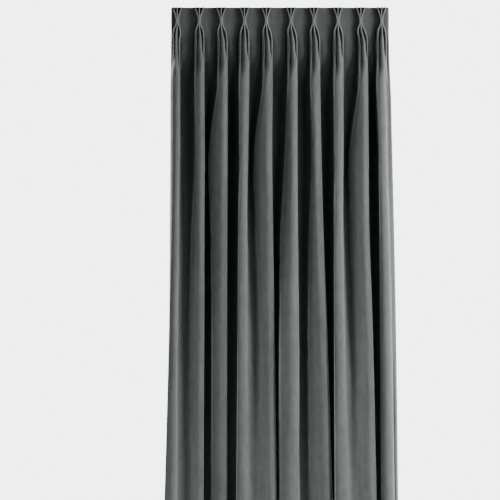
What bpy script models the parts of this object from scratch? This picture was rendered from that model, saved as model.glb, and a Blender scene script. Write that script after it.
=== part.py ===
"""Velvet curtain with a triple pinch-pleated heading: one panel, hanging in its folds.

Metres, +Z up. The origin is the middle of the top edge, in the plane of the flat spaces between the
pleats. The front of the curtain faces -Y. Places across the curtain are X, places through it are Y, and
"drop" is the distance down from the top edge. "Cloth" is a distance across the flat cloth, from its left
edge.
"""

import bmesh
import bpy
import numpy as np

MM = 0.001

# The panel
DROP = 2.600
CLOTH_THICKNESS = 1.5 * MM

# The heading: a stiffened band, pinched into pleats of three loops each, which are counted from the
# middle one. The flat spaces between the pleats bow back a little.
BAND_DEPTH = 0.150
PINCH_DROP = 0.077
LOOPS = (-1, 0, 1)
LOOP_DEPTH = 25 * MM
LAYER_PITCH = 2 * MM
HEADING_ENDS = (-0.545, 0.545)
SPACE_BOW = 2 * MM
SPACE_SIDE = 40 * MM

# How far the outer loops of a pleat lean out at each drop, and how wide a loop's tip is there
LOOP_DROPS = (0.0, PINCH_DROP, 0.120, BAND_DEPTH)
LOOP_LEAN = (22 * MM, 2 * LAYER_PITCH, 18 * MM, 23 * MM)
LOOP_TIP = (5 * MM, LAYER_PITCH, 5 * MM, 6 * MM)

# A row for each pleat from the left: where it is pinched, and how far its middle loop leans to the right
# as it runs out below the heading. Millimetres.
PLEAT_COLUMNS = ("pinch", "sweep")
PLEAT_ROWS = (
    (-513, -8), (-403, 9), (-294, 8), (-178, 9), (-69, 7), (54, 9), (168, 8), (288, 7), (402, 9), (506, 8),
)
# The folds below at five drops, a row for each fold from the left: its left side, where its right side is
# steepest, how far its crest stands in front of the heading, how far behind the heading the bottom of the
# valley to its right lies, how far its left side is set back from its crest, and how wide the rounding into
# its right side is. Millimetres.
FOLD_COLUMNS = ("left", "right", "front", "valley", "set back", "round")
FOLDS_AT = {
    0.40: (
        (-534, -499, 44, 22, 3, 18), (-427, -378, 48, 32, 4, 24), (-313, -262, 50, 36, 4, 26),
        (-206, -154, 48, 26, 2, 32), (-88, -38, 46, 34, 4, 32), (36, 86, 50, 36, 4, 30),
        (148, 200, 46, 34, 4, 34), (264, 316, 48, 26, 2, 34), (389, 438, 45, 34, 4, 30),
        (478, 531, 46, 40, 3, 36),
    ),
    0.72: (
        (-536, -502, 48, 16, 4, 18), (-424, -377, 50, 40, 6, 24), (-354, -263, 54, 48, 30, 28),
        (-205, -160, 50, 26, 2, 32), (-129, -40, 50, 48, 26, 30), (24, 86, 52, 40, 24, 28),
        (157, 205, 48, 48, 8, 32), (266, 315, 50, 26, 2, 32), (346, 440, 48, 48, 26, 28),
        (487, 534, 48, 40, 3, 34),
    ),
    1.10: (
        (-540, -506, 50, 8, 4, 18), (-440, -378, 46, 48, 16, 24), (-346, -264, 50, 50, 26, 30),
        (-209, -165, 54, 8, 2, 32), (-122, -37, 46, 50, 16, 28), (3, 88, 54, 40, 26, 34),
        (144, 215, 48, 50, 24, 34), (266, 314, 54, 8, 2, 35), (352, 443, 46, 50, 18, 28),
        (494, 546, 49, 40, 6, 38),
    ),
    1.50: (
        (-549, -511, 51, -2, 4, 20), (-450, -379, 42, 50, 10, 26), (-342, -265, 48, 50, 14, 32),
        (-211, -166, 54, -8, 2, 34), (-114, -31, 45, 50, 8, 30), (-4, 93, 54, 32, 9, 46),
        (138, 230, 47, 50, 18, 36), (267, 318, 54, -8, 2, 38), (364, 457, 45, 50, 8, 30),
        (497, 556, 50, 40, 10, 40),
    ),
    DROP: (
        (-578, -516, 50, -16, 4, 28), (-448, -384, 40, 48, 3, 28), (-344, -265, 46, 48, 15, 36),
        (-219, -162, 55, -40, 2, 40), (-108, -17, 45, 50, 1, 32), (-3, 95, 49, 6, 8, 56),
        (144, 264, 47, 50, 14, 36), (272, 340, 55, -40, 2, 44), (388, 484, 44, 50, 1, 34),
        (506, 575, 50, 40, 14, 44),
    ),
}
# Where the panel's left and right edges hang at the same five drops, in millimetres, and how far behind
# the heading. The left edge turns back beside the first fold, whose side leans in by LEFT_SIDE_IN at this
# share of its front. The right edge ends a low ripple past the last fold: the share of the way from the
# fold to the edge, and how far behind the heading.
LEFT_EDGE, LEFT_EDGE_BACK = (-546, -547, -549, -552, -580), -12 * MM
LEFT_SIDE_IN, LEFT_SIDE_SHARE = 1 * MM, 0.6
RIGHT_EDGE = (555, 562, 571, 579, 593)
RIPPLE_COLUMNS = ("share", "back")
RIPPLE_ROWS = ((0.12, -11), (0.40, -5), (0.70, -3), (1.00, 4))

# Shares of the flat of a fold's face, from its left, and of the turn into its right side, at which its
# section has points. The flat turns a little to the left, and its left side drops back in a curve.
FLAT_SHARES = (0.0, 0.15, 0.45, 0.90)
TURN_SHARES = (0.13, 0.4, 0.7, 1.0)
FACE_TURN = 0.10
SET_BACK_CURVE = 2.5
# How far the right side turns beside a shallow valley and beside a steep one, in degrees, and how much of
# a shallow valley's depth it takes
SIDE_TURN = (50, 90)
SIDE_FALL = 0.5
# Half a valley, from its middle outwards, as shares of its half width and of its depth, where it is
# shallow and where it is steep. A deep valley also widens behind the folds.
VALLEY_COLUMNS = ("out", "up", "steep out", "steep up")
VALLEY_ROWS = ((0.0, 0.0, 0.0, 0.0), (0.36, 0.07, 0.62, 0.07), (0.72, 0.26, 0.96, 0.30))
STEEP_DEPTHS = (24 * MM, 46 * MM)
DEEP_DEPTHS = (50 * MM, 85 * MM)
DEEP_WIDTH = 80 * MM
# How much of the cloth the face of a fold takes near the top, and the drops between which it evens out
FACE_CLOTH = 104 * MM
FACE_EVENS = (0.40, 0.95)
CURVE_STEPS = 10

# One pleat at SPREAD_DROP, where its loops have splayed to the width of the fold below and two dips are
# left between them: the cloth's distance from the pleat's middle, how far across the fold it lies, as a
# share, and how far behind the heading. A row for each station across, in millimetres.
SPREAD_DROP = 0.190
SPREAD_COLUMNS = ("cloth", "across", "back")
SPREAD_ROWS = (
    (-98, -0.28, 1), (-84, -0.02, 7), (-74, 0.14, 9), (-64, 0.01, -8), (-54, 0.05, -20), (-46, 0.17, -26),
    (-36, 0.25, -17), (-25, 0.29, -5), (-14, 0.33, -18), (-5, 0.43, -29), (6, 0.62, -31), (16, 0.75, -22),
    (25, 0.79, -9), (36, 0.84, -21), (46, 0.92, -26), (56, 0.99, -18), (64, 0.99, -8), (74, 0.86, 9),
    (84, 1.02, 7), (98, 1.28, 1),
)
SPREAD_EDGE_BACK = 4 * MM
# Drops over which each part of a pleat goes from the heading's shape to the spread one, and from that to
# the fold: the space beside it, its outer sides, its dips on the long and the short side, and its middle
OPEN_COLUMNS = ("spread from", "spread by", "hang from", "hang by")
OPEN_ROWS = {
    "space": (0.140, 0.210, 0.230, 0.480),
    "flank": (0.090, 0.180, 0.200, 0.380),
    "long dip": (0.100, 0.190, 0.190, 0.370),
    "middle": (0.100, 0.190, 0.200, 0.340),
    "short dip": (0.100, 0.190, 0.175, 0.290),
}

# The mesh's columns in a pleat, as cloth distances from its middle in millimetres: both ends of each side
# of a loop, and places between. Then its columns in each space between two pleats, and beside the outer
# ones, and the drops of its rows.
PLEAT_STATIONS = (-74, -64, -53, -47, -37, -26, -24, -13, -3, 3, 13, 24, 26, 37, 47, 53, 64, 74)
SPACE_STATIONS, END_STATIONS = 3, 1
ROW_DROPS = (
    0.0, PINCH_DROP, 0.120, 0.155, 0.200, 0.250, 0.310, 0.400, 0.550, 0.720, 1.100, 1.500, 2.050, DROP,
)

VELVET_COLOUR = (0.030, 0.033, 0.034, 1.0)
VELVET_ROUGHNESS = 0.85
VELVET_SHEEN = 0.6

# Worked out from the tables
PLEAT_TABLE = dict(zip(PLEAT_COLUMNS, np.array(PLEAT_ROWS).T * MM))
SPREAD_TABLE = dict(zip(SPREAD_COLUMNS, np.array(SPREAD_ROWS).T))
VALLEY_TABLE = dict(zip(VALLEY_COLUMNS, np.array(VALLEY_ROWS).T))
RIPPLE_TABLE = dict(zip(RIPPLE_COLUMNS, np.array(RIPPLE_ROWS).T))
OPEN_TABLE = {part: dict(zip(OPEN_COLUMNS, row)) for part, row in OPEN_ROWS.items()}
FOLD_DROPS = tuple(FOLDS_AT)
FOLDS = np.array([FOLDS_AT[drop] for drop in FOLD_DROPS]) * MM
EDGES = np.column_stack([LEFT_EDGE, RIGHT_EDGE]) * MM
PLEAT_CLOTH = 2 * len(LOOPS) * LOOP_DEPTH
PLEAT_BASE = (2 * len(LOOPS) - 1) * LAYER_PITCH
TAKEN_UP = PLEAT_CLOTH - PLEAT_BASE
# Cloth distance of each pleat's middle, and of the middle of the space after it
PLEATS = PLEAT_TABLE["pinch"] - HEADING_ENDS[0] + (np.arange(len(PLEAT_ROWS)) + 0.5) * TAKEN_UP
SPACES = (PLEATS[1:] + PLEATS[:-1]) / 2
CLOTH_WIDTH = HEADING_ENDS[1] - HEADING_ENDS[0] + len(PLEAT_ROWS) * TAKEN_UP


def ease(value, start, end):
    """0 before start, 1 after end, and smooth between."""
    share = np.clip((value - start) / (end - start), 0, 1)
    return share * share * (3 - 2 * share)


def smooth_between(places, values, place):
    """A smooth curve through values, a row for each of places."""
    places, values = np.array(places), np.array(values, float)
    slopes = np.gradient(values, places, axis=0)
    place = min(max(place, places[0]), places[-1])
    low = min(np.searchsorted(places, place, side="right") - 1, len(places) - 2)
    step = places[low + 1] - places[low]
    share = (place - places[low]) / step
    rise = share * share * (3 - 2 * share)
    start_pull = share * (1 - share) ** 2 * step
    end_pull = share * share * (share - 1) * step
    return (
        values[low] * (1 - rise) + values[low + 1] * rise
        + slopes[low] * start_pull + slopes[low + 1] * end_pull
    )


def folds_near(drop):
    """The fold table's columns at this drop."""
    return dict(zip(FOLD_COLUMNS, smooth_between(FOLD_DROPS, FOLDS, drop).T))


def curve_through(points):
    """A smooth curve through the given points, with CURVE_STEPS points on each stretch."""
    points = np.array(points)
    ends = np.vstack([2 * points[0] - points[1], points, 2 * points[-1] - points[-2]])
    share = (np.arange(CURVE_STEPS) / CURVE_STEPS)[:, None]
    runs = [
        0.5 * (
            2 * b + (c - a) * share
            + (2 * a - 5 * b + 4 * c - d) * share ** 2
            + (3 * b - a - 3 * c + d) * share ** 3
        )
        for a, b, c, d in zip(ends, ends[1:], ends[2:], ends[3:])
    ]
    return np.vstack(runs + [points[-1:]])


def heading_row(cloth, drop):
    """(x, y) of the cloth in the heading, with its pleats fanned out as far as they are at this drop."""
    lean = smooth_between(LOOP_DROPS, LOOP_LEAN, drop)
    tip = smooth_between(LOOP_DROPS, LOOP_TIP, drop) / 2
    turn = LAYER_PITCH / 2
    run_out = ease(drop, PINCH_DROP, SPREAD_DROP)
    side = LOOP_DEPTH - turn - tip
    reach = np.sqrt(side ** 2 - (lean - 2 * LAYER_PITCH) ** 2)
    places, points = [0.0], [(HEADING_ENDS[0], 0.0)]
    for pleat, pinch, sweep in zip(PLEATS, PLEAT_TABLE["pinch"], PLEAT_TABLE["sweep"]):
        for loop in LOOPS:
            base = pinch + 2 * loop * LAYER_PITCH
            top = pinch + loop * lean + (0 if loop else sweep * run_out)
            depth = reach if loop else side
            start = pleat + 2 * loop * LOOP_DEPTH
            places += [start - LOOP_DEPTH + turn, start - tip, start + tip, start + LOOP_DEPTH - turn]
            points += [(base - turn, 0.0), (top - tip, -depth), (top + tip, -depth), (base + turn, 0.0)]
    places.append(CLOTH_WIDTH)
    points.append((HEADING_ENDS[1], 0.0))
    x, y = np.array(points).T
    x, y = np.interp(cloth, places, x), np.interp(cloth, places, y)
    beside_pleat = np.abs(cloth[:, None] - PLEATS).min(1) - PLEAT_CLOTH / 2
    return x, y + SPACE_BOW * ease(beside_pleat, 0, SPACE_SIDE)


def spread_row(cloth, drop):
    """(x, y) of the cloth just below the heading, where each pleat has splayed to its fold's width."""
    fold = folds_near(drop)
    places, points = [0.0], [(HEADING_ENDS[0], SPREAD_EDGE_BACK)]
    for pleat, sweep, left, right in zip(PLEATS, PLEAT_TABLE["sweep"], fold["left"], fold["right"]):
        station, across, back = SPREAD_TABLE["cloth"], SPREAD_TABLE["across"], SPREAD_TABLE["back"]
        if sweep < 0:
            station, across, back = -station[::-1], 1 - across[::-1], back[::-1]
        places += list(pleat + station * MM)
        points += list(zip(left + across * (right - left), back * MM))
    places.append(CLOTH_WIDTH)
    points.append((HEADING_ENDS[1], SPREAD_EDGE_BACK))
    smooth = curve_through(points)
    step = np.interp(cloth, places, np.arange(len(places))) * CURVE_STEPS
    return tuple(np.interp(step, np.arange(len(smooth)), smooth[:, axis]) for axis in (0, 1))


def fold_front(left, right, front, set_back, rounding, depth):
    """Points round the front of a fold, from its left side, over its crest, to its right side's steepest."""
    flat = right - rounding - left
    shallow_turn, steep_turn = np.radians(SIDE_TURN)
    last_turn = shallow_turn + (steep_turn - shallow_turn) * ease(depth, *STEEP_DEPTHS)
    fall = min(rounding, SIDE_FALL * depth)
    points = []
    for share in FLAT_SHARES:
        back = FACE_TURN * flat * (1 - share) + set_back * (1 - share) ** SET_BACK_CURVE
        points.append((left + flat * share, -front + back))
    for share in TURN_SHARES:
        turn = share * last_turn
        in_from_side = rounding * (1 - np.sin(turn) / np.sin(last_turn))
        points.append((right - in_from_side, -front + fall * (1 - np.cos(turn)) / (1 - np.cos(last_turn))))
    return points


def valley(right, left, front, bottom):
    """Points of the valley between two folds: down its left wall to its bottom, and up its right wall."""
    depth = bottom + front
    steep, deep = ease(depth, *STEEP_DEPTHS), ease(depth, *DEEP_DEPTHS)
    wide = left - right
    half = (wide + (max(wide, DEEP_WIDTH) - wide) * deep) / 2
    out = half * (VALLEY_TABLE["out"] + (VALLEY_TABLE["steep out"] - VALLEY_TABLE["out"]) * steep)
    y = bottom - depth * (VALLEY_TABLE["up"] + (VALLEY_TABLE["steep up"] - VALLEY_TABLE["up"]) * steep)
    middle = (left + right) / 2
    return list(zip(middle - out[::-1], y[::-1])), list(zip(middle + out, y))


def fold_row(cloth, drop):
    """(x, y) of the cloth where it hangs in its folds below the heading."""
    fold = folds_near(drop)
    left, right, front, bottom = fold["left"], fold["right"], fold["front"], fold["valley"]
    left_edge, right_edge = smooth_between(FOLD_DROPS, EDGES, drop)
    sides = [valley(right[i], left[i + 1], front[i:i + 2].mean(), bottom[i]) for i in range(len(SPACES))]
    first = [(left_edge, LEFT_EDGE_BACK), (left_edge + LEFT_SIDE_IN, -LEFT_SIDE_SHARE * front[0])]
    last = list(zip(right[-1] + RIPPLE_TABLE["share"] * (right_edge - right[-1]), RIPPLE_TABLE["back"] * MM))
    before, after = [first] + [up for down, up in sides], [down for down, up in sides] + [last]
    stops = np.concatenate([[0.0], SPACES, [CLOTH_WIDTH]])
    x, y = np.zeros(len(cloth)), np.zeros(len(cloth))
    for i, pleat in enumerate(PLEATS):
        depth = front[i] + bottom[i]
        face = fold_front(left[i], right[i], front[i], fold["set back"][i], fold["round"][i], depth)
        run = curve_through([*before[i], *face, *after[i]])
        length = np.concatenate([[0.0], np.cumsum(np.hypot(*np.diff(run, axis=0).T))])
        face_starts = CURVE_STEPS * len(before[i])
        ends = length[[face_starts, face_starts + CURVE_STEPS * (len(face) - 1)]]
        even = stops[i] + ends / length[-1] * (stops[i + 1] - stops[i])
        gathered = pleat + np.array((-0.5, 0.5)) * FACE_CLOTH
        taken = gathered + (even - gathered) * ease(drop, *FACE_EVENS)
        here = (cloth >= stops[i]) & (cloth <= stops[i + 1])
        along = np.interp(cloth[here], [stops[i], *taken, stops[i + 1]], [0, *ends, length[-1]])
        x[here], y[here] = np.interp(along, length, run[:, 0]), np.interp(along, length, run[:, 1])
    return x, y


def opened(cloth, drop):
    """How far the cloth at this drop has spread below the heading, and how far from there it hangs in its
    folds, each 0 to 1."""
    nearest = np.abs(cloth[:, None] - PLEATS).argmin(1)
    away = (cloth - PLEATS[nearest]) * np.sign(PLEAT_TABLE["sweep"][nearest])
    half = PLEAT_CLOTH / 2
    parts = {
        -half - SPACE_SIDE: "space", -half: "flank", -2 * LOOP_DEPTH: "flank", -LOOP_DEPTH: "long dip",
        0: "middle", LOOP_DEPTH: "short dip", 2 * LOOP_DEPTH: "flank", half: "flank",
        half + SPACE_SIDE: "space",
    }
    at = {
        column: np.interp(away, list(parts), [OPEN_TABLE[part][column] for part in parts.values()])
        for column in OPEN_COLUMNS
    }
    return ease(drop, at["spread from"], at["spread by"]), ease(drop, at["hang from"], at["hang by"])


def hanging_row(cloth, drop):
    """Places of the cloth at these distances across it, all at one drop."""
    heading = np.array(heading_row(cloth, drop))
    spread = np.array(spread_row(cloth, drop))
    falling = np.array(fold_row(cloth, drop))
    spreading, hanging = opened(cloth, drop)
    x, y = heading + (spread - heading) * spreading + (falling - spread) * hanging
    return np.column_stack([x, y, np.full(len(cloth), -drop)])


def column_places():
    """Cloth distances of the mesh's columns."""
    starts = [0.0, *(PLEATS + PLEAT_CLOTH / 2)]
    ends = [*(PLEATS - PLEAT_CLOTH / 2), CLOTH_WIDTH]
    counts = [END_STATIONS, *[SPACE_STATIONS] * len(SPACES), END_STATIONS]
    spaces = [
        np.linspace(start, end, count + 2)[1:-1] for start, end, count in zip(starts, ends, counts)
    ]
    pleats = PLEATS[:, None] + np.array(PLEAT_STATIONS) * MM
    return np.sort(np.concatenate([[0.0, CLOTH_WIDTH], *spaces, pleats.ravel()]))


def make_velvet():
    velvet = bpy.data.materials.new("velvet")
    velvet.use_nodes = True
    shader = velvet.node_tree.nodes["Principled BSDF"]
    shader.inputs["Base Color"].default_value = VELVET_COLOUR
    shader.inputs["Roughness"].default_value = VELVET_ROUGHNESS
    shader.inputs["Metallic"].default_value = 0.0
    shader.inputs["Sheen Weight"].default_value = VELVET_SHEEN
    return velvet


def make_panel():
    """One cut of velvet. It starts as a flat grid, and each row of the grid is laid along its folds."""
    columns = column_places()
    last_column, last_row = len(columns) - 1, len(ROW_DROPS) - 1
    rows = [hanging_row(columns, drop) for drop in ROW_DROPS]
    cloth = bmesh.new()
    bmesh.ops.create_grid(cloth, x_segments=last_column, y_segments=last_row, size=1)
    for vertex in cloth.verts:
        column = round((vertex.co.x + 1) / 2 * last_column)
        row = round((1 - vertex.co.y) / 2 * last_row)
        vertex.co = rows[row][column]
    mesh = bpy.data.meshes.new("velvet_panel")
    cloth.to_mesh(mesh)
    cloth.free()
    mesh.materials.append(make_velvet())
    mesh.shade_smooth()
    panel = bpy.data.objects.new("velvet_panel", mesh)
    solidify = panel.modifiers.new("cloth thickness", "SOLIDIFY")
    solidify.thickness = CLOTH_THICKNESS
    solidify.offset = 0
    solidify.use_even_offset = True
    return panel


for old in list(bpy.data.objects):
    bpy.data.objects.remove(old)
curtain = bpy.data.collections.new("velvet curtain")
bpy.context.scene.collection.children.link(curtain)
curtain.objects.link(make_panel())
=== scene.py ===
"""Looks of the pinch-pleated velvet curtain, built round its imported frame. Metres, +Z up, front to -Y."""

import bmesh
import bpy
import numpy as np
from mathutils import Matrix, Vector


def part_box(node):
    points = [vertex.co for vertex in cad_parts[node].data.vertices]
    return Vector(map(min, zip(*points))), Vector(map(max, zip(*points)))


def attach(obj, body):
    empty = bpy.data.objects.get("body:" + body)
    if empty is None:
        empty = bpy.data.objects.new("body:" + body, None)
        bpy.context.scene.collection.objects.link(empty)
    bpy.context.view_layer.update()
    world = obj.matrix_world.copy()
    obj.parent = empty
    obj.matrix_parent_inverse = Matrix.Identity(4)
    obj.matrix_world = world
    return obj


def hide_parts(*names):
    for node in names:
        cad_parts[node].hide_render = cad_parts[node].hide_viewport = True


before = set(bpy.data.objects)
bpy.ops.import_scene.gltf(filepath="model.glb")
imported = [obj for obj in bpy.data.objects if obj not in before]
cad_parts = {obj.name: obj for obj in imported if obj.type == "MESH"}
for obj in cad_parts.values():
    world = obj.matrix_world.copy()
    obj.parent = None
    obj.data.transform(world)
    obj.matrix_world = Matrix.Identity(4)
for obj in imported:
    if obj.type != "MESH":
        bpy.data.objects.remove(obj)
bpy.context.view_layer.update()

# ---------------------------------------------------------------------------------------------------------
# The panel
# One cut of charcoal cotton velvet. Its heading is stiffened, sewn into triple pinch pleats and caught
# 77 mm down at each, and below it the cloth falls free in folds to a double hem.
# ---------------------------------------------------------------------------------------------------------
MM = 0.001
drop_length = -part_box("velvet_panel")[0].z

# The heading: a stiffened band, pinched into pleats of three loops each, which are counted from the
# middle one. The flat spaces between the pleats bow back a little.
band_depth = 0.150
pinch_drop = 0.077
loops = (-1, 0, 1)
loop_depth = 25 * MM
layer_pitch = 2 * MM
heading_ends = (-0.545, 0.545)
space_bow = 2 * MM
space_side = 40 * MM

# How far the outer loops of a pleat lean out at each drop, and how wide a loop's tip is there. The cloth
# rounds each corner over a share of the tip, softness, as the mean of the sharp shape at these steps.
softness = 0.7
corner_steps = np.linspace(-1, 1, 5)
loop_drops = (0.0, pinch_drop, 0.120, band_depth)
loop_lean = (22 * MM, 2 * layer_pitch, 18 * MM, 23 * MM)
loop_tip = (5 * MM, layer_pitch, 5 * MM, 6 * MM)

# A row for each pleat from the left: where it is pinched, and how far its middle loop leans to the right
# as it runs out below the heading. Millimetres.
pleat_columns = ("pinch", "sweep")
pleat_rows = (
    (-513, -8), (-403, 9), (-294, 8), (-178, 9), (-69, 7), (54, 9), (168, 8), (288, 7), (402, 9), (506, 8),
)
# The folds below at five drops, a row for each fold from the left: its left side, where its right side is
# steepest, how far its crest stands in front of the heading, how far behind the heading the bottom of the
# valley to its right lies, how far its left side is set back from its crest, and how wide the rounding into
# its right side is. Millimetres.
fold_columns = ("left", "right", "front", "valley", "set back", "round")
folds_at = {
    0.40: (
        (-534, -499, 44, 22, 3, 18), (-427, -378, 48, 32, 4, 24), (-313, -262, 50, 36, 4, 26),
        (-206, -154, 48, 26, 2, 32), (-88, -38, 46, 34, 4, 32), (36, 86, 50, 36, 4, 30),
        (148, 200, 46, 34, 4, 34), (264, 316, 48, 26, 2, 34), (389, 438, 45, 34, 4, 30),
        (478, 531, 46, 40, 3, 36),
    ),
    0.72: (
        (-536, -502, 48, 16, 4, 18), (-424, -377, 50, 40, 6, 24), (-354, -263, 54, 48, 30, 28),
        (-205, -160, 50, 26, 2, 32), (-129, -40, 50, 48, 26, 30), (24, 86, 52, 40, 24, 28),
        (157, 205, 48, 48, 8, 32), (266, 315, 50, 26, 2, 32), (346, 440, 48, 48, 26, 28),
        (487, 534, 48, 40, 3, 34),
    ),
    1.10: (
        (-540, -506, 50, 8, 4, 18), (-440, -378, 46, 48, 16, 24), (-346, -264, 50, 50, 26, 30),
        (-209, -165, 54, 8, 2, 32), (-122, -37, 46, 50, 16, 28), (3, 88, 54, 40, 26, 34),
        (144, 215, 48, 50, 24, 34), (266, 314, 54, 8, 2, 35), (352, 443, 46, 50, 18, 28),
        (494, 546, 49, 40, 6, 38),
    ),
    1.50: (
        (-549, -511, 51, -2, 4, 20), (-450, -379, 42, 50, 10, 26), (-342, -265, 48, 50, 14, 32),
        (-211, -166, 54, -8, 2, 34), (-114, -31, 45, 50, 8, 30), (-4, 93, 54, 32, 9, 46),
        (138, 230, 47, 50, 18, 36), (267, 318, 54, -8, 2, 38), (364, 457, 45, 50, 8, 30),
        (497, 556, 50, 40, 10, 40),
    ),
    drop_length: (
        (-578, -516, 50, -16, 4, 28), (-448, -384, 40, 48, 3, 28), (-344, -265, 46, 48, 15, 36),
        (-219, -162, 55, -40, 2, 40), (-108, -17, 45, 50, 1, 32), (-3, 95, 49, 6, 8, 56),
        (144, 264, 47, 50, 14, 36), (272, 340, 55, -40, 2, 44), (388, 484, 44, 50, 1, 34),
        (506, 575, 50, 40, 14, 44),
    ),
}
# Where the panel's left and right edges hang at the same five drops, in millimetres, and how far behind
# the heading. The left edge turns back beside the first fold, whose side leans in by left_side_in at this
# share of its front. The right edge ends a low ripple past the last fold: the share of the way from the
# fold to the edge, and how far behind the heading.
left_edge, left_edge_back = (-546, -547, -549, -552, -580), -12 * MM
left_side_in, left_side_share = 1 * MM, 0.6
right_edge = (555, 562, 571, 579, 593)
ripple_columns = ("share", "back")
ripple_rows = ((0.12, -11), (0.40, -5), (0.70, -3), (1.00, 4))

# Shares of the flat of a fold's face, from its left, and of the turn into its right side, at which its
# section has points. The flat turns a little to the left, and its left side drops back in a curve.
flat_shares = (0.0, 0.15, 0.45, 0.90)
turn_shares = (0.13, 0.4, 0.7, 1.0)
face_turn = 0.10
set_back_curve = 2.5
# How far the right side turns beside a shallow valley and beside a steep one, in degrees, and how much of
# a shallow valley's depth it takes
side_turn = (50, 90)
side_fall = 0.5
# Half a valley, from its middle outwards, as shares of its half width and of its depth, where it is
# shallow and where it is steep. A deep valley also widens behind the folds.
valley_columns = ("out", "up", "steep out", "steep up")
valley_rows = ((0.0, 0.0, 0.0, 0.0), (0.36, 0.07, 0.62, 0.07), (0.72, 0.26, 0.96, 0.30))
steep_depths = (24 * MM, 46 * MM)
deep_depths = (50 * MM, 85 * MM)
deep_width = 80 * MM
# How much of the cloth the face of a fold takes near the top, and the drops between which it evens out
face_cloth = 104 * MM
face_evens = (0.40, 0.95)
curve_steps = 10

# One pleat at spread_drop, where its loops have splayed to the width of the fold below and two dips are
# left between them: the cloth's distance from the pleat's middle, how far across the fold it lies, as a
# share, and how far behind the heading. A row for each station across, in millimetres.
spread_drop = 0.190
spread_columns = ("cloth", "across", "back")
spread_rows = (
    (-98, -0.28, 1), (-84, -0.02, 7), (-74, 0.14, 9), (-64, 0.01, -8), (-54, 0.05, -20), (-46, 0.17, -26),
    (-36, 0.25, -17), (-25, 0.29, -5), (-14, 0.33, -18), (-5, 0.43, -29), (6, 0.62, -31), (16, 0.75, -22),
    (25, 0.79, -9), (36, 0.84, -21), (46, 0.92, -26), (56, 0.99, -18), (64, 0.99, -8), (74, 0.86, 9),
    (84, 1.02, 7), (98, 1.28, 1),
)
spread_edge_back = 4 * MM
# Drops over which each part of a pleat goes from the heading's shape to the spread one, and from that to
# the fold: the space beside it, its outer sides, its dips on the long and the short side, and its middle
open_columns = ("spread from", "spread by", "hang from", "hang by")
open_rows = {
    "space": (0.140, 0.210, 0.230, 0.480),
    "flank": (0.090, 0.180, 0.200, 0.380),
    "long dip": (0.100, 0.190, 0.190, 0.370),
    "middle": (0.100, 0.190, 0.200, 0.340),
    "short dip": (0.100, 0.190, 0.175, 0.290),
}

# Worked out from the tables
pleat_table = dict(zip(pleat_columns, np.array(pleat_rows).T * MM))
spread_table = dict(zip(spread_columns, np.array(spread_rows).T))
valley_table = dict(zip(valley_columns, np.array(valley_rows).T))
ripple_table = dict(zip(ripple_columns, np.array(ripple_rows).T))
open_table = {part: dict(zip(open_columns, row)) for part, row in open_rows.items()}
fold_drops = tuple(folds_at)
folds = np.array([folds_at[drop] for drop in fold_drops]) * MM
edges = np.column_stack([left_edge, right_edge]) * MM
pleat_cloth = 2 * len(loops) * loop_depth
pleat_base = (2 * len(loops) - 1) * layer_pitch
taken_up = pleat_cloth - pleat_base
# Cloth distance of each pleat's middle, and of the middle of the space after it
pleats = pleat_table["pinch"] - heading_ends[0] + (np.arange(len(pleat_rows)) + 0.5) * taken_up
spaces = (pleats[1:] + pleats[:-1]) / 2
cloth_width = heading_ends[1] - heading_ends[0] + len(pleat_rows) * taken_up


def ease(value, start, end):
    """0 before start, 1 after end, and smooth between."""
    share = np.clip((value - start) / (end - start), 0, 1)
    return share * share * (3 - 2 * share)


def smooth_between(places, values, place):
    """A smooth curve through values, a row for each of places."""
    places, values = np.array(places), np.array(values, float)
    slopes = np.gradient(values, places, axis=0)
    place = min(max(place, places[0]), places[-1])
    low = min(np.searchsorted(places, place, side="right") - 1, len(places) - 2)
    step = places[low + 1] - places[low]
    share = (place - places[low]) / step
    rise = share * share * (3 - 2 * share)
    start_pull = share * (1 - share) ** 2 * step
    end_pull = share * share * (share - 1) * step
    return (
        values[low] * (1 - rise) + values[low + 1] * rise
        + slopes[low] * start_pull + slopes[low + 1] * end_pull
    )


def folds_near(drop):
    """The fold table's columns at this drop."""
    return dict(zip(fold_columns, smooth_between(fold_drops, folds, drop).T))


def curve_through(points):
    """A smooth curve through the given points, with curve_steps points on each stretch."""
    points = np.array(points)
    ends = np.vstack([2 * points[0] - points[1], points, 2 * points[-1] - points[-2]])
    share = (np.arange(curve_steps) / curve_steps)[:, None]
    runs = [
        0.5 * (
            2 * b + (c - a) * share
            + (2 * a - 5 * b + 4 * c - d) * share ** 2
            + (3 * b - a - 3 * c + d) * share ** 3
        )
        for a, b, c, d in zip(ends, ends[1:], ends[2:], ends[3:])
    ]
    return np.vstack(runs + [points[-1:]])


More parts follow.
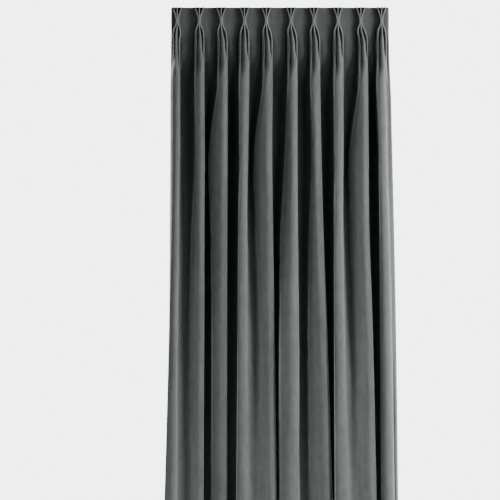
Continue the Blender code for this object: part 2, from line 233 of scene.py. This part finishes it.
def heading_row(cloth, drop):
    """(x, y) of the cloth in the heading, with its pleats fanned out as far as they are at this drop."""
    lean = smooth_between(loop_drops, loop_lean, drop)
    half_tip = smooth_between(loop_drops, loop_tip, drop) / 2
    turn = layer_pitch / 2
    run_out = ease(drop, pinch_drop, spread_drop)
    side = loop_depth - turn - half_tip
    reach = np.sqrt(side ** 2 - (lean - 2 * layer_pitch) ** 2)
    places, points = [0.0], [(heading_ends[0], 0.0)]
    for pleat, pinch, sweep in zip(pleats, pleat_table["pinch"], pleat_table["sweep"]):
        for loop in loops:
            base = pinch + 2 * loop * layer_pitch
            top = pinch + loop * lean + (0 if loop else sweep * run_out)
            depth = reach if loop else side
            start = pleat + 2 * loop * loop_depth
            places += [start - loop_depth + turn, start - half_tip]
            places += [start + half_tip, start + loop_depth - turn]
            points += [(base - turn, 0.0), (top - half_tip, -depth)]
            points += [(top + half_tip, -depth), (base + turn, 0.0)]
    places.append(cloth_width)
    points.append((heading_ends[1], 0.0))
    x, y = np.array(points).T
    near = [np.clip(cloth + softness * half_tip * step, 0, cloth_width) for step in corner_steps]
    x = np.mean([np.interp(place, places, x) for place in near], axis=0)
    y = np.mean([np.interp(place, places, y) for place in near], axis=0)
    beside_pleat = np.abs(cloth[:, None] - pleats).min(1) - pleat_cloth / 2
    return x, y + space_bow * ease(beside_pleat, 0, space_side)


def spread_row(cloth, drop):
    """(x, y) of the cloth just below the heading, where each pleat has splayed to its fold's width."""
    fold = folds_near(drop)
    places, points = [0.0], [(heading_ends[0], spread_edge_back)]
    for pleat, sweep, left, right in zip(pleats, pleat_table["sweep"], fold["left"], fold["right"]):
        station, across, back = spread_table["cloth"], spread_table["across"], spread_table["back"]
        if sweep < 0:
            station, across, back = -station[::-1], 1 - across[::-1], back[::-1]
        places += list(pleat + station * MM)
        points += list(zip(left + across * (right - left), back * MM))
    places.append(cloth_width)
    points.append((heading_ends[1], spread_edge_back))
    smooth = curve_through(points)
    step = np.interp(cloth, places, np.arange(len(places))) * curve_steps
    return tuple(np.interp(step, np.arange(len(smooth)), smooth[:, axis]) for axis in (0, 1))


def fold_front(left, right, front, set_back, rounding, depth):
    """Points round the front of a fold, from its left side, over its crest, to its right side's steepest."""
    flat = right - rounding - left
    shallow_turn, steep_turn = np.radians(side_turn)
    last_turn = shallow_turn + (steep_turn - shallow_turn) * ease(depth, *steep_depths)
    fall = min(rounding, side_fall * depth)
    points = []
    for share in flat_shares:
        back = face_turn * flat * (1 - share) + set_back * (1 - share) ** set_back_curve
        points.append((left + flat * share, -front + back))
    for share in turn_shares:
        turn = share * last_turn
        in_from_side = rounding * (1 - np.sin(turn) / np.sin(last_turn))
        points.append((right - in_from_side, -front + fall * (1 - np.cos(turn)) / (1 - np.cos(last_turn))))
    return points


def valley(right, left, front, bottom):
    """Points of the valley between two folds: down its left wall to its bottom, and up its right wall."""
    depth = bottom + front
    steep, deep = ease(depth, *steep_depths), ease(depth, *deep_depths)
    wide = left - right
    half = (wide + (max(wide, deep_width) - wide) * deep) / 2
    out = half * (valley_table["out"] + (valley_table["steep out"] - valley_table["out"]) * steep)
    y = bottom - depth * (valley_table["up"] + (valley_table["steep up"] - valley_table["up"]) * steep)
    middle = (left + right) / 2
    return list(zip(middle - out[::-1], y[::-1])), list(zip(middle + out, y))


def fold_row(cloth, drop):
    """(x, y) of the cloth where it hangs in its folds below the heading."""
    fold = folds_near(drop)
    left, right, front, bottom = fold["left"], fold["right"], fold["front"], fold["valley"]
    left_end, right_end = smooth_between(fold_drops, edges, drop)
    sides = [valley(right[i], left[i + 1], front[i:i + 2].mean(), bottom[i]) for i in range(len(spaces))]
    first = [(left_end, left_edge_back), (left_end + left_side_in, -left_side_share * front[0])]
    last = list(zip(right[-1] + ripple_table["share"] * (right_end - right[-1]), ripple_table["back"] * MM))
    before, after = [first] + [up for down, up in sides], [down for down, up in sides] + [last]
    stops = np.concatenate([[0.0], spaces, [cloth_width]])
    x, y = np.zeros(len(cloth)), np.zeros(len(cloth))
    for i, pleat in enumerate(pleats):
        depth = front[i] + bottom[i]
        face = fold_front(left[i], right[i], front[i], fold["set back"][i], fold["round"][i], depth)
        run = curve_through([*before[i], *face, *after[i]])
        length = np.concatenate([[0.0], np.cumsum(np.hypot(*np.diff(run, axis=0).T))])
        face_starts = curve_steps * len(before[i])
        ends = length[[face_starts, face_starts + curve_steps * (len(face) - 1)]]
        even = stops[i] + ends / length[-1] * (stops[i + 1] - stops[i])
        gathered = pleat + np.array((-0.5, 0.5)) * face_cloth
        taken = gathered + (even - gathered) * ease(drop, *face_evens)
        here = (cloth >= stops[i]) & (cloth <= stops[i + 1])
        along = np.interp(cloth[here], [stops[i], *taken, stops[i + 1]], [0, *ends, length[-1]])
        x[here], y[here] = np.interp(along, length, run[:, 0]), np.interp(along, length, run[:, 1])
    return x, y


def opened(cloth, drop):
    """How far the cloth at this drop has spread below the heading, and how far from there it hangs in its
    folds, each 0 to 1."""
    nearest = np.abs(cloth[:, None] - pleats).argmin(1)
    away = (cloth - pleats[nearest]) * np.sign(pleat_table["sweep"][nearest])
    half = pleat_cloth / 2
    parts = {
        -half - space_side: "space", -half: "flank", -2 * loop_depth: "flank", -loop_depth: "long dip",
        0: "middle", loop_depth: "short dip", 2 * loop_depth: "flank", half: "flank",
        half + space_side: "space",
    }
    at = {
        column: np.interp(away, list(parts), [open_table[part][column] for part in parts.values()])
        for column in open_columns
    }
    return ease(drop, at["spread from"], at["spread by"]), ease(drop, at["hang from"], at["hang by"])


def hanging_row(cloth, drop):
    """Places of the cloth at these distances across it, all at one drop."""
    heading = np.array(heading_row(cloth, drop))
    spread = np.array(spread_row(cloth, drop))
    falling = np.array(fold_row(cloth, drop))
    spreading, hanging = opened(cloth, drop)
    x, y = heading + (spread - heading) * spreading + (falling - spread) * hanging
    return np.column_stack([x, y, np.full(len(cloth), -drop)])


# Thickness of the cloth in the bottom hem, and as shares of it elsewhere: single cloth, the stiffened
# heading, the side hems, and every edge, where the cloth is rounded off
hem_thickness = 3 * MM
single_share, heading_share, side_hem_share, edge_share = 0.5, 0.6, 0.8, 0.35
hem_depth, side_hem = 100 * MM, 24 * MM
hem_top = drop_length - hem_depth
# A hem's step is this wide, and an edge's rounding
step_width, edge_width = 1.5 * MM, 1.2 * MM
# Over the loops' tips the pile splits open and a painted sheen highlight lightens it, down to where the loops
# splay
tip_sheen_width, tip_sheen_drops = 3 * MM, (0.11, 0.21)
# The mesh's columns: distances of a loop's own from its roots, in millimetres, and the numbers of those in
# each space between two pleats and in a side hem
loop_steps = (0.8, 2.4, 6, 12.5, 19, 22.3, 24.1)
space_columns, hem_columns = 7, 3
# The mesh's rows: their numbers in the heading, where the pleats open, in the folds and in the hem, and the
# drop by which the pleats have opened
heading_rows, opening_rows, fold_rows, hem_rows = 20, 27, 38, 4
opening_by = 0.45


def column_places():
    """Cloth distances of the mesh's columns, close together at the loops' tips and roots and at the hems."""
    steps = np.array(loop_steps) * MM
    one_loop = np.concatenate([steps - loop_depth, [0.0], loop_depth - steps[::-1]])
    in_pleats = pleats[:, None, None] + 2 * loop_depth * np.array(loops)[:, None] + one_loop
    in_hem = np.linspace(edge_width, side_hem - step_width / 2, hem_columns)
    side = np.array([0.0, *in_hem, side_hem + step_width / 2])
    half = pleat_cloth / 2
    in_spaces = np.linspace(pleats[:-1] + half, pleats[1:] - half, space_columns + 2)[1:-1]
    return np.sort(np.concatenate([side, cloth_width - side, in_pleats.ravel(), in_spaces.ravel()]))


def row_places():
    """Drops of the mesh's rows, with a pair at each hem's step."""
    half = step_width / 2
    return np.concatenate([
        [0.0],
        np.linspace(edge_width, band_depth - half, heading_rows),
        np.linspace(band_depth + half, opening_by, opening_rows),
        np.linspace(opening_by, hem_top - half, fold_rows)[1:],
        np.linspace(hem_top + half, drop_length - edge_width, hem_rows),
        [drop_length],
    ])


def thickness_share(across, drop):
    """Share of the hem's thickness that the cloth has at this place."""
    from_side = min(across, cloth_width - across)
    if min(from_side, drop, drop_length - drop) <= 0:
        return edge_share
    if drop > hem_top:
        return 1.0
    if from_side < side_hem:
        return side_hem_share
    return heading_share if drop < band_depth else single_share


def tip_sheen_share(across, drop):
    """How much painted sheen highlight this place gets, over the sharp tips of the pleats' loops where the
    pile splits open.
    """
    tips = pleats[:, None] + 2 * loop_depth * np.array(loops)
    off_tip = np.abs(tips - across).min()
    return float((1 - ease(off_tip, 0, tip_sheen_width)) * (1 - ease(drop, *tip_sheen_drops)))


def new_piece(name, shape, material):
    """Makes an object from a bmesh, smoothly shaded and in this material."""
    mesh = bpy.data.meshes.new(name)
    shape.to_mesh(mesh)
    shape.free()
    mesh.shade_smooth()
    mesh.materials.append(material)
    piece = bpy.data.objects.new(name, mesh)
    bpy.context.scene.collection.objects.link(piece)
    return piece


class Value:
    """A shader socket that takes arithmetic, and to whose tree nodes can be added."""

    def __init__(self, socket):
        self.socket = socket

    def node(self, kind, inputs=None, settings=None, output=0):
        """Adds a node of this kind to the same tree, and returns one of its outputs."""
        made = self.socket.id_data.nodes.new(kind)
        for name, setting in (settings or {}).items():
            setattr(made, name, setting)
        for name, given in (inputs or {}).items():
            if isinstance(given, Value):
                given.feed(made.inputs[name])
            else:
                made.inputs[name].default_value = given
        return Value(made.outputs[output])

    def feed(self, socket):
        self.socket.id_data.links.new(self.socket, socket)

    def mix(self, low, high):
        """A colour from low to high, by this value. A Mix node's colours are inputs 6 and 7 and output 2."""
        return self.node("ShaderNodeMix", {0: self, 6: low, 7: high}, {"data_type": "RGBA"}, output=2)

    def stretched(self, share):
        """These coordinates with this share of their own height, which draws a pattern out upwards."""
        return self.node("ShaderNodeMapping", {"Vector": self, "Scale": (1, share, 1)})

    def noise(self, scale, detail):
        """Noise with this as its coordinates."""
        return self.node("ShaderNodeTexNoise", {"Vector": self, "Scale": scale, "Detail": detail})

    def maths(self, operation, first, second):
        return self.node("ShaderNodeMath", {0: first, 1: second}, {"operation": operation})

    def __add__(self, other):
        return self.maths("ADD", self, other)

    def __sub__(self, other):
        return self.maths("SUBTRACT", self, other)

    def __rsub__(self, other):
        return self.maths("SUBTRACT", other, self)

    def __mul__(self, other):
        return self.maths("MULTIPLY", self, other)

    __radd__, __rmul__ = __add__, __mul__


def new_material(name):
    """A material, its shader's inputs, and a Value of its tree to start a pattern from."""
    material = bpy.data.materials.new(name)
    material.use_nodes = True
    shader = material.node_tree.nodes["Principled BSDF"]
    return material, shader.inputs, Value(shader.outputs["BSDF"])


# Colours of the pile where it is pressed down and where it stands up, and the painted sheen highlight where
# it splits open
pressed_colour, standing_colour = (0.026, 0.030, 0.029, 1), (0.060, 0.067, 0.064, 1)
split_sheen_colour = (0.12, 0.13, 0.127, 1)
# What brushed streaks, standing patches and mottling add to its shade, which is stretched about its middle
brushed_part, standing_part, mottled_part = 0.45, 0.35, 0.2
shade_middle, shade_contrast = 0.5, 2.0
# How rough it is, how much smoother where it is brushed, and how it stands in relief
pile_roughness, brushed_smoother = 0.97, 0.15
relief_strength, relief_height, standing_relief = 0.5, 0.8 * MM, 5
# Its sheen, and the little that it reflects as a mirror
velvet_finish = {
    "Sheen Weight": 0.75,
    "Sheen Roughness": 0.40,
    "Sheen Tint": (0.92, 0.97, 0.96, 1),
    "Specular IOR Level": 0.15,
}


def charcoal_velvet():
    """Cut pile, brushed up and down, darker where it has been pressed. Its patterns lie on the flat cloth."""
    velvet, finish, start = new_material("charcoal velvet")
    cloth = start.node("ShaderNodeUVMap", settings={"uv_map": "cloth"})
    brushed = cloth.stretched(0.12).noise(scale=22.0, detail=5.0)
    standing = cloth.stretched(0.4).noise(scale=42.0, detail=3.0)
    mottled = cloth.noise(scale=260.0, detail=3.0)
    pile = cloth.noise(scale=1400.0, detail=2.0)
    shade = brushed * brushed_part + standing * standing_part + mottled * mottled_part
    shade = (shade - shade_middle) * shade_contrast + shade_middle
    # A painted sheen highlight lightens the pile where it splits open over the loops' tips
    tip_sheen_mask = start.node("ShaderNodeAttribute", settings={"attribute_name": "tip_sheen"}, output="Fac")
    colour = tip_sheen_mask.mix(shade.mix(pressed_colour, standing_colour), split_sheen_colour)
    height = pile + standing * standing_relief + mottled
    relief = {"Height": height, "Strength": relief_strength, "Distance": relief_height}
    colour.feed(finish["Base Color"])
    (pile_roughness - brushed * brushed_smoother).feed(finish["Roughness"])
    cloth.node("ShaderNodeBump", relief).feed(finish["Normal"])
    for name, amount in velvet_finish.items():
        finish[name].default_value = amount
    return velvet


# Each row of a flat grid is laid along its folds. `behind` points out of the cloth's back at each place.
columns, row_drops = column_places(), row_places()
rows = np.array([hanging_row(columns, drop) for drop in row_drops])
along_cloth = np.gradient(rows, axis=1)
behind = np.stack([-along_cloth[..., 1], along_cloth[..., 0], np.zeros(rows.shape[:2])], axis=2)
behind /= np.linalg.norm(behind, axis=2, keepdims=True)

last_column, last_row = len(columns) - 1, len(row_drops) - 1
sheet = bmesh.new()
bmesh.ops.create_grid(sheet, x_segments=last_column, y_segments=last_row, size=1)
flat_place = sheet.loops.layers.uv.new("cloth")
hem_shares, tip_sheen_shares = [], []
for vertex in sheet.verts:
    column = round((vertex.co.x + 1) / 2 * last_column)
    row = round((1 - vertex.co.y) / 2 * last_row)
    vertex.co = rows[row][column]
    hem_shares.append(thickness_share(columns[column], row_drops[row]))
    tip_sheen_shares.append(tip_sheen_share(columns[column], row_drops[row]))
    for loop in vertex.link_loops:
        loop[flat_place].uv = (columns[column], -row_drops[row])
panel = new_piece("panel", sheet, charcoal_velvet())
# Where the loops' tips get their painted sheen highlight
tip_sheen_layer = panel.data.attributes.new("tip_sheen", "FLOAT", "POINT")
tip_sheen_layer.data.foreach_set("value", tip_sheen_shares)
hems = panel.vertex_groups.new(name="hems")
for index, share in enumerate(hem_shares):
    hems.add([index], share, "REPLACE")
solidify = panel.modifiers.new("cloth thickness", "SOLIDIFY")
solidify.thickness = hem_thickness
solidify.offset = 0
solidify.vertex_group = hems.name
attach(panel, "root")
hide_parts("velvet_panel")

# ---------------------------------------------------------------------------------------------------------
# The pinch tacks
# Charcoal buttonhole thread, drawn three times round the loops of each pleat 77 mm down and through them,
# which holds the pleat shut there.
# ---------------------------------------------------------------------------------------------------------
# The turns of a tack, how far apart they lie, and how far in front of the heading they go into the loops
tack_turns, tack_pitch = 3, 1.3 * MM
tack_back = 9 * MM
thread_radius = 0.5 * MM
dark_fibre, pale_fibre = (0.040, 0.044, 0.042, 1), (0.085, 0.090, 0.087, 1)
thread_finish = {"Roughness": 0.6, "Sheen Weight": 0.4}


def add_stitch(threads, start, end, out):
    """Adds the stretch of thread that shows between two places of a surface, where out points off it."""
    start, end, out = Vector(start), Vector(end), Vector(out)
    side = (end - start).normalized().cross(out)
    shape = Matrix(((end - start) / 2, side * thread_radius, out * thread_radius)).transposed().to_4x4()
    shape.translation = (start + end) / 2
    bmesh.ops.create_icosphere(threads, subdivisions=1, radius=1, matrix=shape)


def charcoal_thread():
    """Spun thread, a little smoother than the velvet's pile."""
    thread, finish, start = new_material("charcoal thread")
    fibres = start.node("ShaderNodeTexCoord", output="Object").noise(scale=3000.0, detail=2.0)
    fibres.mix(dark_fibre, pale_fibre).feed(finish["Base Color"])
    for name, amount in thread_finish.items():
        finish[name].default_value = amount
    return thread


sewing_thread = charcoal_thread()
half_heading = heading_share * hem_thickness / 2
tack_side = 2 * layer_pitch + layer_pitch / 2 + half_heading + thread_radius
tack_front = loop_depth - layer_pitch + half_heading
tacks = bmesh.new()
for pinch in pleat_table["pinch"]:
    for turn in range(tack_turns):
        z = -pinch_drop + (turn - (tack_turns - 1) / 2) * tack_pitch
        corners = [
            (pinch + side * tack_side, -y, z)
            for side, y in ((-1, tack_back), (-1, tack_front), (1, tack_front), (1, tack_back))
        ]
        for start, end, out in zip(corners, corners[1:], ((-1, 0, 0), (0, -1, 0), (1, 0, 0))):
            add_stitch(tacks, start, end, out)
pinch_tacks = new_piece("pinch_tacks", tacks, sewing_thread)
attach(pinch_tacks, "root")

# ---------------------------------------------------------------------------------------------------------
# The hem stitches
# The same thread in a line of running stitches behind the heading's lower edge, both side hems and the
# bottom hem. They catch the turned cloth from behind, so none comes through to the front.
# ---------------------------------------------------------------------------------------------------------
stitch_length, stitch_pitch = 5 * MM, 11 * MM
# How deep the thread sinks into the pile
seam_inset = 0.2 * MM


def add_seam(threads, places, line, out):
    """Adds stitches along a line of the cloth: distances along it, its places, and what points off it."""
    starts = np.arange(places[0] + stitch_pitch, places[-1] - stitch_pitch, stitch_pitch)
    start, end, off = (
        np.column_stack([np.interp(at, places, values[:, axis]) for axis in range(3)])
        for at, values in ((starts, line), (starts + stitch_length, line), (starts, out))
    )
    for stitch in zip(start, end, off):
        add_stitch(threads, *stitch)


def nearest(places, value):
    """The index of the place nearest to this value."""
    return int(np.abs(places - value).argmin())


seams = bmesh.new()
for drop, share in ((band_depth - step_width / 2, heading_share), (hem_top + step_width / 2, 1.0)):
    row = nearest(row_drops, drop)
    lift = share * hem_thickness / 2 - seam_inset
    add_seam(seams, columns, rows[row] + lift * behind[row], behind[row])
hemmed = slice(nearest(row_drops, band_depth) + 1, nearest(row_drops, hem_top) + 1)
for across in (side_hem - step_width / 2, cloth_width - side_hem + step_width / 2):
    column = nearest(columns, across)
    lift = side_hem_share * hem_thickness / 2 - seam_inset
    out = behind[hemmed, column]
    add_seam(seams, row_drops[hemmed], rows[hemmed, column] + lift * out, out)
hem_stitches = new_piece("hem_stitches", seams, sewing_thread)
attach(hem_stitches, "root")

# ---------------------------------------------------------------------------------------------------------
# The studio
# A pale floor just below the hem, a tall soft light from the right with a narrow one beside it, weak ones
# from the front and the left, one from behind on each side, and a room that looks pale and lights little.
# ---------------------------------------------------------------------------------------------------------
floor_gap, floor_forward = 12 * MM, 0.25
floor_half_width, floor_half_length = 1.6, 1.0
floor_colour, floor_roughness = (0.60, 0.60, 0.60, 1), 0.8
room_light, room_look = (0.010, 0.010, 0.0105, 1), (5.0, 5.0, 5.0, 1)
camera_place = (-0.15, -6.944, -1.2125)
camera_lens, camera_sensor = 100, 36

floor_place = Matrix.Translation((0, -floor_forward, -drop_length - floor_gap))
floor_place @= Matrix.Diagonal((floor_half_width, floor_half_length, 1, 1))
floor_shape = bmesh.new()
bmesh.ops.create_grid(floor_shape, x_segments=1, y_segments=1, size=1, matrix=floor_place)
pale_floor, finish, _ = new_material("pale floor")
finish["Base Color"].default_value = floor_colour
finish["Roughness"].default_value = floor_roughness
new_piece("floor", floor_shape, pale_floor)

# Each light's name, its place, its width and height, and its power in watts. All face the curtain's middle.
curtain_middle = Vector((0, 0, -drop_length / 2))
for name, light_place, wide, tall, power in (
    ("window light", (3.6, -2.2, -0.9), 1.4, 3.0, 500),
    ("window edge light", (4.0, -0.5, -0.9), 0.8, 3.0, 350),
    ("front light", (2.4, -3.8, -0.7), 1.6, 2.4, 75),
    ("left front light", (-2.6, -4.4, -0.5), 2.0, 2.4, 25),
    ("left edge light", (-3.6, -1.2, -0.9), 1.0, 2.4, 60),
    ("left back light", (-2.8, 0.9, -0.8), 1.0, 2.4, 350),
    ("right back light", (3.0, 1.1, -0.9), 0.8, 2.4, 120),
):
    light = bpy.data.lights.new(name, "AREA")
    light.shape = "RECTANGLE"
    light.size, light.size_y, light.energy = wide, tall, power
    lamp = bpy.data.objects.new(name, light)
    lamp.location = light_place
    lamp.rotation_euler = (curtain_middle - lamp.location).to_track_quat("-Z", "Y").to_euler()
    bpy.context.scene.collection.objects.link(lamp)

room = bpy.data.worlds.new("room")
room.use_nodes = True
bpy.context.scene.world = room
background = room.node_tree.nodes["Background"]
seen = Value(background.outputs["Background"]).node("ShaderNodeLightPath", output="Is Camera Ray")
seen.mix(room_light, room_look).feed(background.inputs["Color"])

camera = bpy.data.objects.new("camera", bpy.data.cameras.new("camera"))
camera.data.lens, camera.data.sensor_width = camera_lens, camera_sensor
camera.location = camera_place
camera.rotation_euler = (np.pi / 2, 0, 0)
bpy.context.scene.collection.objects.link(camera)
bpy.context.scene.camera = camera
